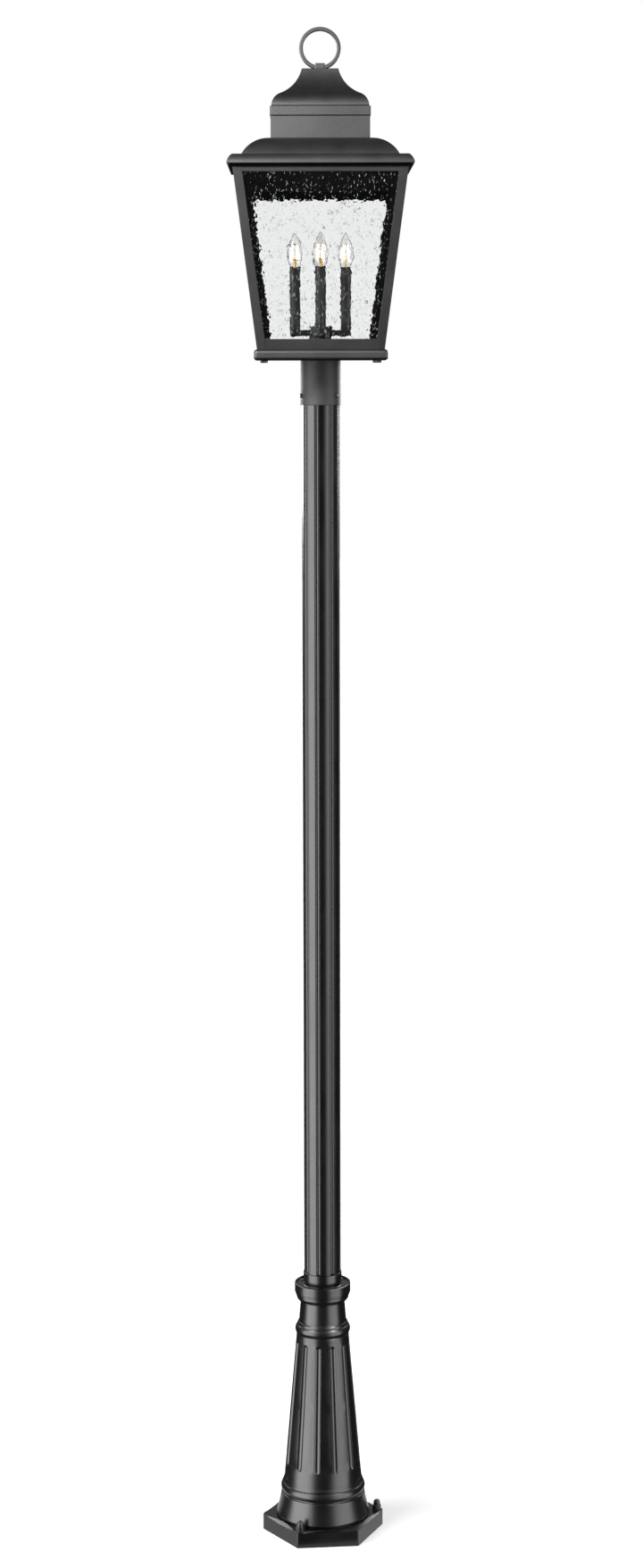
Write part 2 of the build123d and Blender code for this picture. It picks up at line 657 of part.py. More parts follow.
def chimney():
    return square_tube(CHIMNEY_HALF, CHIMNEY_HALF - CHIMNEY_WALL, Z_ROOF, Z_CAP)


def cap_band():
    return square_tube(CHIMNEY_HALF + SLIP + BAND_T, CHIMNEY_HALF + SLIP, Z_BAND, Z_CAP)


def ogee(half, top_half, base, top, shoulder_r, sweep_r):
    """A face bounded by an ogee on each side: convex shoulder below, concave sweep above."""
    cx, cz = half - shoulder_r, base
    reach = shoulder_r + sweep_r
    dx, dz = top_half - cx, top - cz
    gap = hypot(dx, dz)
    along = (reach**2 - sweep_r**2 + gap**2) / (2 * gap)
    across = sqrt(reach**2 - along**2)
    sx = cx + (along * dx + across * dz) / gap
    sz = cz + (along * dz - across * dx) / gap
    jx = cx + (sx - cx) * shoulder_r / reach
    jz = cz + (sz - cz) * shoulder_r / reach
    low_sag = arc_sag(shoulder_r, half - jx, base - jz)
    high_sag = arc_sag(sweep_r, jx - top_half, jz - top)
    right = [(half, base, 0), (jx, jz, -low_sag), (top_half, top, high_sag), (-top_half, top, 0)]
    left = [(-jx, jz, high_sag), (-half, base, -low_sag)]
    return outline((0, base), right + left)


def cap():
    body = four_sided(ogee(CAP_HALF, CAP_TOP_HALF, Z_CAP, Z_CAP_TOP, CAP_SHOULDER_R, CAP_SWEEP_R))
    body = fillet(body.faces().sort_by(Axis.Z)[-1].edges(), CAP_EDGE_R)
    hollow = ogee(CAP_HALF - CAP_SHEET, CAP_TOP_HALF - CAP_SHEET, Z_CAP, Z_CAP_TOP - CAP_TOP_T,
                  CAP_SHOULDER_R - CAP_SHEET, CAP_SWEEP_R + CAP_SHEET)
    return body - four_sided(hollow)


def ring_lug():
    lug = standing_box(LUG_W, LUG_D, Z_CAP_TOP, Z_CAP_TOP + LUG_H)
    return fillet(lug.edges() - lug.faces().sort_by(Axis.Z)[0].edges(), LUG_EDGE_R)


def ring():
    """An open ring whose two ends butt against the lug's sides."""
    band = Rectangle(RING_BAND, RING_DEPTH)
    band = fillet(band.vertices(), RING_EDGE_R)
    hoop = revolve(Pos(RING_R - RING_BAND / 2, 0) * band, Axis.Y)
    hoop = Pos(0, 0, Z_CAP_TOP + RING_R + BEDDING) * hoop
    return hoop - standing_box(LUG_W, 2 * LUG_D, Z_CAP_TOP, Z_CAP_TOP + 2 * LUG_H)


# Candle cluster


def hub():
    low, high = Z_TRAY + TRAY_FLOOR_T, Z_FRAME + HUB_TOP_ABOVE_TRAY
    steps = [(HUB_R, low, 0), (HUB_R, high, 0), (HUB_R - HUB_WALL, high, 0),
             (HUB_R - HUB_WALL, low + HUB_WALL, 0), (NIPPLE_R + SLIP, low + HUB_WALL, 0)]
    return turned((NIPPLE_R + SLIP, low), steps)


def hub_lid():
    low = Z_FRAME + HUB_TOP_ABOVE_TRAY
    edge = HUB_LID_R - 1.2
    inside = HUB_R - HUB_WALL - BEDDING
    steps = [(inside, low - 2.0, 0), (inside, low, 0), (HUB_LID_R, low, 0),
             (HUB_LID_R, low + HUB_LID_T - 1.2, 0), (edge, low + HUB_LID_T, -0.35), (0, low + HUB_LID_T, 0)]
    return turned((0, low - 2.0), steps)


def hub_nipple():
    """The threaded tube that the supply wires rise through, from under the tray into the hub."""
    low = Z_TRAY - LOCKNUT_T - 2.0
    high = Z_TRAY + TRAY_FLOOR_T + HUB_WALL + LOCKNUT_T + 2.0
    return disc(NIPPLE_R, low, high) - disc(NIPPLE_BORE_R, low - 1, high + 1)


def locknuts():
    bodies = []
    for low in (Z_TRAY - LOCKNUT_T, Z_TRAY + TRAY_FLOOR_T + HUB_WALL):
        hexagon = Pos(0, 0, low) * RegularPolygon(LOCKNUT_FLATS / 2, 6, major_radius=False)
        flats = extrude(hexagon, amount=LOCKNUT_T)
        bodies.append(flats - disc(NIPPLE_R + SLIP, low - 1, low + LOCKNUT_T + 1))
    return Compound(bodies)


def arms():
    reach = CANDLE_CIRCLE / 2 + CANDLE_R - 0.5
    bar = Pos(reach / 2, 0, Z_ARM + ARM_H / 2) * Box(reach, ARM_W, ARM_H)
    ends = bar.faces().sort_by(Axis.X)[-1].edges()
    bar = fillet(ends.filter_by(Axis.Z), ARM_W / 2 - 0.5)
    flats = bar.faces().sort_by(Axis.Z)
    bar = fillet(flats[0].edges() + flats[-1].edges(), ARM_EDGE_R)
    bar -= disc(HUB_R + 0.05, Z_ARM - 1, Z_ARM + ARM_H + 1)
    return Compound(round_about(bar, CANDLES))


def candle_places():
    return [Rot(0, 0, FRONT + k * 360 / CANDLES) * Pos(CANDLE_CIRCLE / 2, 0, 0) for k in range(CANDLES)]


def candle_sleeve(place):
    wall = disc(CANDLE_R, Z_CANDLE, Z_CANDLE_TOP)
    wall -= disc(CANDLE_R - CANDLE_WALL, Z_CANDLE - 1, Z_CANDLE_TOP + 1)
    return place * wall


def sockets():
    body = disc(CANDLE_R - CANDLE_WALL - SOCKET_GAP, Z_CANDLE, Z_SOCKET_TOP)
    body -= disc(BULB_BASE_R + SOCKET_FIT, Z_SOCKET_TOP - SOCKET_DEPTH, Z_SOCKET_TOP + 1)
    return Compound([place * body for place in candle_places()])


def bulb_side(neck, belly_r, low, tip):
    """Right-hand side of a flame-shaped envelope, from its neck up to its tip."""
    belly = Z_CANDLE_TOP + BULB_BELLY_UP
    swell = belly - low
    taper = tip - belly
    lower = [(neck, low), (neck + 0.6 * (belly_r - neck), low + 0.3 * swell), (belly_r, belly - 0.45 * swell)]
    upper = [(belly_r, belly + 0.33 * taper), (0.22 * belly_r, belly + 0.92 * taper), (0, tip)]
    return [Bezier(*lower, (belly_r, belly)), Bezier((belly_r, belly), *upper)]


def bulb_glass(place):
    """Thin blown envelope, open at the neck and drawn out to a small rounded tip."""
    low = Z_SOCKET_TOP + BEDDING + BULB_FLANGE_T
    tip = Z_CANDLE_TOP + BULB_H
    neck = BULB_NECK_R - BULB_GLASS_T
    wall = bulb_side(BULB_NECK_R, BULB_R, low, tip)
    wall += bulb_side(neck, BULB_R - BULB_GLASS_T, low, tip - BULB_TIP_T)
    wall += [Line((neck, low), (BULB_NECK_R, low)), Line((0, tip - BULB_TIP_T), (0, tip))]
    return place * revolve(make_face(Plane.XZ * Curve(wall)), Axis.Z)


def bulb_base(place):
    """Screw shell with its contact, flange, glass stem, two spiders and the upright light strips."""
    seat = Z_SOCKET_TOP + BEDDING
    flange = seat + BULB_FLANGE_T
    low = seat - BULB_BASE_H + BULB_CONTACT_H
    spider = flange + STEM_H
    top = spider + FILAMENT_H
    body = disc(BULB_BASE_R, low, seat) + disc(BULB_CONTACT_R, low - BULB_CONTACT_H, low)
    body += disc(BULB_NECK_R, seat, flange) + disc(STEM_R, flange, spider)
    body += disc(SPIDER_R, spider - SPIDER_T, spider) + disc(SPIDER_R, top, top + SPIDER_T)
    strip = Pos(FILAMENT_CIRCLE / 2, 0, 0) * disc(FILAMENT_R, spider, top)
    for copy in round_about(strip, FILAMENTS, first=45):
        body += copy
    return place * body


# Write every piece to its own file

turn = Rot(0, 0, BASE_TURN)
save(turn * base_casting(), "base_casting")
save(turn * anchor_washers(), "anchor_washers")
save(turn * anchor_nuts(), "anchor_nuts")
save(pole(), "pole")
save(turn * pole_foot_collar(), "pole_foot_collar")
save(turn * foot_collar_screws(), "foot_collar_screws")
save(fitter_collar(), "fitter_collar")
for index, side in enumerate(("left", "right", "back")):
    save(set_screw(index), f"set_screw_{side}")
save(tray(), "tray")
for place, corner in zip(stud_places(), ("front_left", "front_right", "back_left", "back_right")):
    save(knob_nut(place), f"knob_nut_{corner}")
save(corner_studs(), "corner_studs")
post = corner_post()
for quarter, corner in enumerate(("front_right", "back_right", "back_left", "front_left")):
    save(Rot(0, 0, 90 * quarter) * post, f"corner_post_{corner}")
rails = {"top_rail": top_rail(), "bottom_rail": bottom_rail(), "glass_pane": glass_pane()}
for quarter, side in enumerate(("front", "right", "back", "left")):
    for name, piece in rails.items():
        save(Rot(0, 0, 90 * quarter) * piece, f"{name}_{side}")
save(glass_strips(), "glass_strips")
save(roof_pan(), "roof_pan")
save(chimney(), "chimney")
save(cap_band(), "cap_band")
save(cap(), "cap")
save(ring_lug(), "ring_lug")
save(ring(), "ring")
save(hub(), "hub")
save(hub_lid(), "hub_lid")
save(hub_nipple(), "hub_nipple")
save(locknuts(), "locknuts")
save(arms(), "arms")
save(sockets(), "sockets")
for place, side in zip(candle_places(), ("front", "right", "back", "left")):
    save(candle_sleeve(place), f"candle_sleeve_{side}")
    save(bulb_glass(place), f"bulb_glass_{side}")
    save(bulb_base(place), f"bulb_base_{side}")
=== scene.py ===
import random
from math import cos, radians, sin, tan

import bpy
from mathutils import Matrix, Vector


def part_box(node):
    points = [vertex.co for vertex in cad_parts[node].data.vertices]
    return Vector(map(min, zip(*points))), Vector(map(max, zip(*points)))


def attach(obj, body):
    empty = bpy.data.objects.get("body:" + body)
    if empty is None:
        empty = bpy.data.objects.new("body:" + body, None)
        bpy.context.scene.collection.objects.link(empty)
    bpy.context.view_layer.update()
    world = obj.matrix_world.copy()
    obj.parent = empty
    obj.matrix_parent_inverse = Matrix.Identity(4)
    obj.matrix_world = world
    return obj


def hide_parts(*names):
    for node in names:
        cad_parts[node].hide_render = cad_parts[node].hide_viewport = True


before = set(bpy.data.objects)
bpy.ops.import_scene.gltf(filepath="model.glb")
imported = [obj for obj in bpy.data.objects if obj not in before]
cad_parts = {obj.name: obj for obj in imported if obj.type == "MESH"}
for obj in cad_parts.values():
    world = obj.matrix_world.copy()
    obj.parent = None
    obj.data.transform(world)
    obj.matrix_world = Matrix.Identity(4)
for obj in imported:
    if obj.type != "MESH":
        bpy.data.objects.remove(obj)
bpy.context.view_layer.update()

MM = 0.001
SIDES = ("front", "right", "back", "left")

# Camera, fitted to the photograph
CAMERA_DISTANCE = 5.745
CAMERA_HEIGHT = 2.4387
CAMERA_AZIMUTH = radians(-0.3)
CAMERA_DOWN = radians(8.4165)
CAMERA_ROLL = radians(-0.125)
LENS_MM = 65.48
SENSOR_MM = 36.0
SIGHT_END = 200.0

# Seeded glass
PANE_LEAN = radians(7.3)
PANE_T = 3.0 * MM
SEEDS_PER_PANE = 1500
FIRST_DRAW = 41                  # random seed of the first pane
SEED_EDGE = 5.0 * MM             # clear of the pane's edges
SEED_W_MM = 0.65                 # narrowest seed
SEED_W_MORE_MM = 1.1             # what the widest has besides
SEED_W_UNEVEN = (0.85, 1.15)
SEED_SMALLNESS = 3               # power of the draw that keeps most seeds small
SEED_STRETCH = (1.5, 4.0)        # length over width
SEED_DEPTH = 1.9 * MM            # deepest seed, inside the sheet
SEED_OFF_MM = 0.3                # off the middle of the sheet
SEED_TILT = 14                   # degrees off the pull of the sheet

# The bubble that every seed is a copy of, 1 m across before it is stretched
BUBBLE_SEGMENTS = 6
BUBBLE_RINGS = 5
BUBBLE_R = 0.5
BUBBLE_TIP = 0.4                 # higher and lower than this is pulled out
BUBBLE_TOP_PULL = 0.16
BUBBLE_FOOT_PULL = 0.08
BUBBLE_WAIST = 0.3               # nearer the middle than this is flattened
BUBBLE_FLAT = 0.9

# Lit strips in each bulb
STRIPS_PER_BULB = 4
STRIP_CIRCLE = 11.6 * MM
FIRST_STRIP = 45                 # degrees
STRIP_LENGTH = 27.0 * MM
STRIP_COAT_R = 1.15 * MM
STRIP_SEGMENTS = 12
STRIP_TOP_DROP = 1.9 * MM
STRIP_END_IN = 0.35 * MM
STRIP_END_OUT = 0.3 * MM
STRIP_SMOOTH = radians(50)

# Sealer at the cap's band; a black band round the roof's hem under the eave, painted shadow of the
# eave
BELT_WALL = 0.8 * MM
SEAM_H = 2.0 * MM
SEALER_PROUD = 0.3 * MM
EAVE_SHADOW_H = 8.0 * MM
EAVE_SHADOW_DROP = 1.5 * MM
EAVE_SHADOW_PROUD = 0.4 * MM
HEM_SETBACK = 7.2 * MM

# A face looks up or down where its normal's z is past this
LEVEL_FACE = 0.9
WELD = 0.01 * MM

# Real sizes of the patterns in the finishes, in millimetres
PEEL_MM = 2.4                    # orange peel of sprayed paint
SMEAR_MM = 70                    # where that paint is glossier or duller
SAND_MM = 9                      # sand of the mould under the paint
GRIT_MM = 2.0                    # grain of the powder coat, really about 0.4
CLUMP_MM = 2.6                   # clumps of that grain
CLOUD_MM = 55                    # where the coat is drier or glossier
RUB_MM = 1.5                     # rubbing marks on brass
PHOSPHOR_MM = 1.2                # grain of the phosphor
SHEET_RIPPLE_MM = 10.0           # ripples of drawn glass
BLOWN_RIPPLE_MM = 9.0            # ripples of blown glass

# Relief of those patterns
PEEL_RELIEF = 0.2 * MM
SAND_RELIEF = 0.6 * MM
GRIT_RELIEF = 0.35 * MM
RIPPLE_RELIEF = 1.0 * MM
PEEL_STRENGTH = 0.12
CAST_STRENGTH = 0.12
CLUMP_SHARE = 0.5

# Where the slow patterns lie, and how far they move the roughness
SLOW_PATTERN = (0.3, 0.7)
PAINT_SPREAD = (-0.03, 0.04)
COAT_SPREAD = (-0.04, 0.05)
BRASS_SPREAD = (-0.06, 0.1)
SPECKS = (0.42, 0.68)

# Edges that the finish rounds
PAINTED_EDGE = 0.6 * MM
CAST_EDGE = 1.5 * MM
COATED_EDGE = 1.0 * MM
EDGE_SAMPLES = 4

# Painted shade on the powder coat's undersides: from how far down a face looks to how much it
# shines
UNDERSIDE = (-0.6, -0.05)
PAINTED_SHADE_UNDERSIDE_SHINE = (0.1, 0.5)

PAINT_IOR = 1.5
GLASS_IOR = 1.5
PAINT_SHINE = 0.5
PHOSPHOR_ROUGHNESS = 0.6

# Floor and the pale card that the foot's deck mirrors
FLOOR_SIZE = 60
FLOOR_CLOUDS = 1.5               # per metre
FLOOR_ROUGHNESS = 0.9
FLOOR_GLOW = 0.45
CARD_PLACE = (0, 0.035, 0.5 * MM)
CARD_SIZE = (0.52, 0.33, 1)
CARD_CLOUDS = 4.0                # per metre
CARD_GLOW = (0.8, 0.9)

# Soft banks of light on the studio's sky, in degrees right of the camera's side and degrees up.
# Each edge has the angle where the bank is dark, then the angle where it is fully bright.
# left edge, right edge, low edge, high edge, brightness
SKY_BANKS = (
    ((-95, -80), (-22, -44), (-34, -19), (58, 34), 7.2),      # tall bank on the left
    ((18, 44), (86, 72), (-34, -19), (58, 34), 4.2),          # tall bank on the right
    ((-60, -30), (60, 30), (4, 20), (60, 36), 0.12),          # faint glow over the camera
)
BACK_GLOW = ((0, 40), (4, 12), (42, 26), 0.3)     # depth behind, low edge, high edge, brightness
SKY_DIM = 0.04                                    # the sky between the banks
# What clear glass shows: low edge, high edge, brightness between them and beyond them
BACKDROP = ((-60, -35), (60, 35), 0.8, 0.2)


# Colour and node helpers


def srgb(code):
    """A linear colour from an sRGB hex code."""
    channels = [int(code[i:i + 2], 16) / 255 for i in (1, 3, 5)]
    return (*[c / 12.92 if c <= 0.04045 else ((c + 0.055) / 1.055) ** 2.4 for c in channels], 1.0)


def add_node(tree, kind, inputs=None, **settings):
    """A new node with its settings; each input is a value or the output that feeds it."""
    node = tree.nodes.new(kind)
    for key, value in settings.items():
        setattr(node, key, value)
    for key, value in (inputs or {}).items():
        if isinstance(value, bpy.types.NodeSocket):
            tree.links.new(value, node.inputs[key])
        else:
            node.inputs[key].default_value = value
    return node


def new_finish(name, fixed):
    """A material whose surface shader is wired to its output and holds the fixed values."""
    material = bpy.data.materials.new(name)
    material.use_nodes = True
    tree = material.node_tree
    tree.nodes.clear()
    surface = add_node(tree, "ShaderNodeBsdfPrincipled", fixed)
    add_node(tree, "ShaderNodeOutputMaterial", {"Surface": surface.outputs["BSDF"]})
    place = add_node(tree, "ShaderNodeTexCoord").outputs["Object"]
    return material, tree, surface, place


def satin_paint(name, colours, roughness, cast=0.0, edge_r=PAINTED_EDGE, shine=PAINT_SHINE):
    """Smooth satin black paint, sprayed: an orange-peel skin a few millimetres wide, sharp
    highlights, and edges that the paint rounds. On a casting the sand's slow unevenness shows
    through it."""
    material, tree, surface, place = new_finish(
        name, {"IOR": PAINT_IOR, "Specular IOR Level": shine})
    peel = add_node(tree, "ShaderNodeTexNoise",
                    {"Vector": place, "Scale": 1000 / PEEL_MM, "Detail": 2.0})
    smear = add_node(tree, "ShaderNodeTexNoise",
                     {"Vector": place, "Scale": 1000 / SMEAR_MM, "Detail": 3.0})
    rough = add_node(tree, "ShaderNodeMapRange",
                     {"Value": smear.outputs["Fac"],
                      "From Min": SLOW_PATTERN[0], "From Max": SLOW_PATTERN[1],
                      "To Min": roughness + PAINT_SPREAD[0], "To Max": roughness + PAINT_SPREAD[1]})
    tint = add_node(tree, "ShaderNodeMix",
                    {0: smear.outputs["Fac"], 6: srgb(colours[0]), 7: srgb(colours[1])},
                    data_type="RGBA")
    edge = add_node(tree, "ShaderNodeBevel", {"Radius": edge_r}, samples=EDGE_SAMPLES)
    bump = add_node(tree, "ShaderNodeBump",
                    {"Height": peel.outputs["Fac"], "Strength": PEEL_STRENGTH,
                     "Distance": PEEL_RELIEF, "Normal": edge.outputs["Normal"]})
    if cast:
        sand = add_node(tree, "ShaderNodeTexNoise",
                        {"Vector": place, "Scale": 1000 / SAND_MM, "Detail": 3.0})
        bump = add_node(tree, "ShaderNodeBump",
                        {"Height": sand.outputs["Fac"], "Strength": cast,
                         "Distance": SAND_RELIEF, "Normal": bump.outputs["Normal"]})
    tree.links.new(rough.outputs["Result"], surface.inputs["Roughness"])
    tree.links.new(tint.outputs[2], surface.inputs["Base Color"])
    tree.links.new(bump.outputs["Normal"], surface.inputs["Normal"])
    return material


def powder_coat(name, colours, roughness, grain=0.5):
    """Fine-textured black powder coat: a dry sandy skin that scatters light, with small brighter
    specks. The real grain is about 0.4 mm; it is drawn 2 mm wide so that it shows in the render.
    Faces that look down shine less: painted shade on the undersides."""
    material, tree, surface, place = new_finish(name, {"IOR": PAINT_IOR})
    grit = add_node(tree, "ShaderNodeTexNoise",
                    {"Vector": place, "Scale": 1000 / GRIT_MM, "Detail": 3.0, "Roughness": 0.65})
    clumps = add_node(tree, "ShaderNodeTexVoronoi",
                      {"Vector": place, "Scale": 1000 / CLUMP_MM}, feature="F1")
    cloud = add_node(tree, "ShaderNodeTexNoise",
                     {"Vector": place, "Scale": 1000 / CLOUD_MM, "Detail": 2.0})
    speck = add_node(tree, "ShaderNodeMapRange",
                     {"Value": grit.outputs["Fac"], "From Min": SPECKS[0], "From Max": SPECKS[1]})
    tint = add_node(tree, "ShaderNodeMix",
                    {0: speck.outputs["Result"], 6: srgb(colours[0]), 7: srgb(colours[1])},
                    data_type="RGBA")
    rough = add_node(tree, "ShaderNodeMapRange",
                     {"Value": cloud.outputs["Fac"],
                      "From Min": SLOW_PATTERN[0], "From Max": SLOW_PATTERN[1],
                      "To Min": roughness + COAT_SPREAD[0], "To Max": roughness + COAT_SPREAD[1]})
    edge = add_node(tree, "ShaderNodeBevel", {"Radius": COATED_EDGE}, samples=EDGE_SAMPLES)
    coarse = add_node(tree, "ShaderNodeBump",
                      {"Height": clumps.outputs["Distance"], "Strength": grain * CLUMP_SHARE,
                       "Distance": GRIT_RELIEF, "Normal": edge.outputs["Normal"]})
    fine = add_node(tree, "ShaderNodeBump",
                    {"Height": grit.outputs["Fac"], "Strength": grain,
                     "Distance": GRIT_RELIEF, "Normal": coarse.outputs["Normal"]})
    # Painted shade: the further down a face looks, the less it shines
    facing = add_node(tree, "ShaderNodeSeparateXYZ", {0: place.node.outputs["Normal"]})
    shine = add_node(tree, "ShaderNodeMapRange",
                     {"Value": facing.outputs["Z"],
                      "From Min": UNDERSIDE[0], "From Max": UNDERSIDE[1],
                      "To Min": PAINTED_SHADE_UNDERSIDE_SHINE[0], "To Max": PAINTED_SHADE_UNDERSIDE_SHINE[1]})
    tree.links.new(shine.outputs["Result"], surface.inputs["Specular IOR Level"])
    tree.links.new(rough.outputs["Result"], surface.inputs["Roughness"])
    tree.links.new(tint.outputs[2], surface.inputs["Base Color"])
    tree.links.new(fine.outputs["Normal"], surface.inputs["Normal"])
    return material


def clear_glass(name, colour, ripple_mm, ripple, clear=1.0):
    """Clear soda-lime glass; drawn or blown glass keeps slow ripples that bend what is seen
    through it."""
    material, tree, surface, place = new_finish(
        name, {"IOR": GLASS_IOR, "Transmission Weight": clear, "Roughness": 0.0,
               "Base Color": srgb(colour)})
    wave = add_node(tree, "ShaderNodeTexNoise",
                    {"Vector": place, "Scale": 1000 / ripple_mm, "Detail": 1.0})
    bump = add_node(tree, "ShaderNodeBump",
                    {"Height": wave.outputs["Fac"], "Strength": ripple, "Distance": RIPPLE_RELIEF})
    tree.links.new(bump.outputs["Normal"], surface.inputs["Normal"])
    return material


def lamp_brass(name, colours, roughness):
    """Bare brass: warm reflections with fine rubbing marks."""
    material, tree, surface, place = new_finish(name, {"Metallic": 1.0})
    marks = add_node(tree, "ShaderNodeTexNoise",
                     {"Vector": place, "Scale": 1000 / RUB_MM, "Detail": 4.0})
    rough = add_node(tree, "ShaderNodeMapRange",
                     {"Value": marks.outputs["Fac"],
                      "To Min": roughness + BRASS_SPREAD[0], "To Max": roughness + BRASS_SPREAD[1]})
    tint = add_node(tree, "ShaderNodeMix",
                    {0: marks.outputs["Fac"], 6: srgb(colours[0]), 7: srgb(colours[1])},
                    data_type="RGBA")
    tree.links.new(rough.outputs["Result"], surface.inputs["Roughness"])
    tree.links.new(tint.outputs[2], surface.inputs["Base Color"])
    return material


def lit_phosphor(name, colours, strength):
    """Phosphor coat, lit: warm white and a little uneven, as it was sprayed."""
    material, tree, surface, place = new_finish(
        name, {"Roughness": PHOSPHOR_ROUGHNESS, "Emission Strength": strength})
    grain = add_node(tree, "ShaderNodeTexNoise",
                     {"Vector": place, "Scale": 1000 / PHOSPHOR_MM, "Detail": 1.0})
    tint = add_node(tree, "ShaderNodeMix",
                    {0: grain.outputs["Fac"], 6: srgb(colours[0]), 7: srgb(colours[1])},
                    data_type="RGBA")
    tree.links.new(tint.outputs[2], surface.inputs["Base Color"])
    tree.links.new(tint.outputs[2], surface.inputs["Emission Color"])
    return material


# Sprayed satin paint on the aluminium pole: long sharp highlights down the flutes
POST_PAINT = satin_paint("satin_black_paint_on_extrusion", ("#050505", "#080808"), 0.27)
# The same paint on the sand-cast base: the highlights waver a little and the edges are rounder
CAST_PAINT = satin_paint("satin_black_paint_on_casting", ("#040404", "#070707"), 0.27,
                         cast=CAST_STRENGTH, edge_r=CAST_EDGE)
# Fine-textured powder coat on the lantern's bent sheet: a soft grey sheen without reflections
LANTERN_COAT = powder_coat("textured_black_powder_coat", ("#060607", "#121213"), 0.45)
# The same coat run smoother round the ring's bar
RING_COAT = powder_coat("black_powder_coat_on_ring", ("#060607", "#0c0c0d"), 0.42, grain=0.15)
# The same coat, drier and darker, on the fitter
COLLAR_COAT = powder_coat("textured_black_powder_coat_on_collar", ("#050506", "#0e0e0f"), 0.6)
# The same coat, a little greyer, on the candle covers, the hub and its arms
CANDLE_COAT = powder_coat("black_powder_coat_on_candles", ("#0e0e0f", "#1a1a1b"), 0.5)
# Painted steel screws, nuts and knobs: small soft glints
SCREW_PAINT = satin_paint("black_painted_screws", ("#101010", "#161616"), 0.35)
# Enamelled steel strips behind the panes' edges: smooth and dark
STRIP_PAINT = satin_paint("black_enamelled_strip_steel", ("#060606", "#090909"), 0.16)
# Drawn glass full of air: its ripples make the edges seen through it ragged
SEEDED_GLASS = clear_glass("seeded_drawn_glass", "#fdfefe", SHEET_RIPPLE_MM, 0.4)
# The wall of each air seed, partly milky, so that it is bright on dark and grey on white
SEED_SKIN = clear_glass("skin_of_air_seeds", "#ffffff", SHEET_RIPPLE_MM, 0.1, clear=0.7)
# Blown glass of the bulbs: clear, with a thin dark outline
BULB_GLASS = clear_glass("clear_blown_glass", "#ffffff", BLOWN_RIPPLE_MM, 0.02)
# Brass of the lamp bases and the threaded tube: warm and slightly rubbed
BRASS = lamp_brass("brass_lamp_base", ("#d9b36a", "#b98f45"), 0.25)
# Moulded black plastic of the sockets: a fine even grain
SOCKET_PLASTIC = powder_coat("black_moulded_socket_plastic", ("#0d0d0d", "#141414"), 0.5, grain=0.1)
# Black sealer in the seams: dull, so that it reads as a thin dark line
SEAM_SEALER = satin_paint("black_seam_sealer", ("#020202", "#040404"), 0.7, shine=0.3)
# Black band under the eave, painted shadow of the eave: next to no shine
PAINTED_EAVE_SHADOW = satin_paint("black_band_of_painted_eave_shadow", ("#020202", "#030303"), 0.8, shine=0.04)
# Phosphor on the bulbs' strips, lit: warm white
LIT_STRIP = lit_phosphor("lit_phosphor_strip", ("#ffdf9c", "#fff0cc"), 2.6)

# The finish of each CAD node, by how its name starts; the rest is the lantern's coated sheet
FINISHES = (
    ("pole", POST_PAINT), ("base_casting", CAST_PAINT),
    ("anchor", SCREW_PAINT), ("foot_collar_screws", SCREW_PAINT), ("set_screw", SCREW_PAINT),
    ("knob_nut", SCREW_PAINT), ("corner_studs", SCREW_PAINT),
    ("fitter_collar", COLLAR_COAT), ("ring", RING_COAT),
    ("hub_nipple", BRASS), ("locknuts", BRASS), ("bulb_base", BRASS),
    ("hub", CANDLE_COAT), ("arms", CANDLE_COAT), ("candle_sleeve", CANDLE_COAT),
    ("sockets", SOCKET_PLASTIC), ("bulb_glass", BULB_GLASS),
    ("glass_strips", STRIP_PAINT), ("glass_pane", SEEDED_GLASS),
)


# Modelling helpers


def only(obj):
    """Select one object alone and make it active."""
    bpy.ops.object.select_all(action="DESELECT")
    obj.select_set(True)
    bpy.context.view_layer.objects.active = obj


def link_new(name, mesh):
    """A new object of that mesh in the scene."""
    piece = bpy.data.objects.new(name, mesh)
    bpy.context.scene.collection.objects.link(piece)
    return piece


def dress(piece, material):
    """Give a piece its one finish."""
    piece.data.materials.clear()
    piece.data.materials.append(material)


def copied_node(node, name):
    """A copy of a CAD node's mesh with its loose triangles joined."""
    piece = link_new(name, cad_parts[node].data.copy())
    only(piece)
    bpy.ops.object.mode_set(mode="EDIT")
    bpy.ops.mesh.select_all(action="SELECT")
    bpy.ops.mesh.remove_doubles(threshold=WELD)
    bpy.ops.object.mode_set(mode="OBJECT")
    bpy.ops.mesh.customdata_custom_splitnormals_clear()
    return piece


def select_vertices(piece, wanted):
    """In edit mode, select the vertices whose place passes the test."""
    bpy.ops.mesh.select_mode(type="VERT")
    bpy.ops.mesh.select_all(action="DESELECT")
    bpy.ops.object.mode_set(mode="OBJECT")
    for vertex in piece.data.vertices:
        vertex.select = wanted(vertex.co)
    bpy.ops.object.mode_set(mode="EDIT")


def select_ends(piece):
    """In edit mode, select the faces that look straight up or down."""
    bpy.ops.mesh.select_mode(type="FACE")
    bpy.ops.mesh.select_all(action="DESELECT")
    bpy.ops.object.mode_set(mode="OBJECT")
    for face in piece.data.polygons:
        face.select = abs(face.normal.z) > LEVEL_FACE
    bpy.ops.object.mode_set(mode="EDIT")


def joined(pieces, name):
    """Join pieces into the first one."""
    only(pieces[0])
    for piece in pieces[1:]:
        piece.select_set(True)
    bpy.ops.object.join()
    pieces[0].name = name
    return pieces[0]


for node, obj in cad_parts.items():
    dress(obj, next((finish for start, finish in FINISHES if node.startswith(start)), LANTERN_COAT))


# Seeded panes: each keeps its CAD shape and gets its air bubbles as real hollows in the sheet


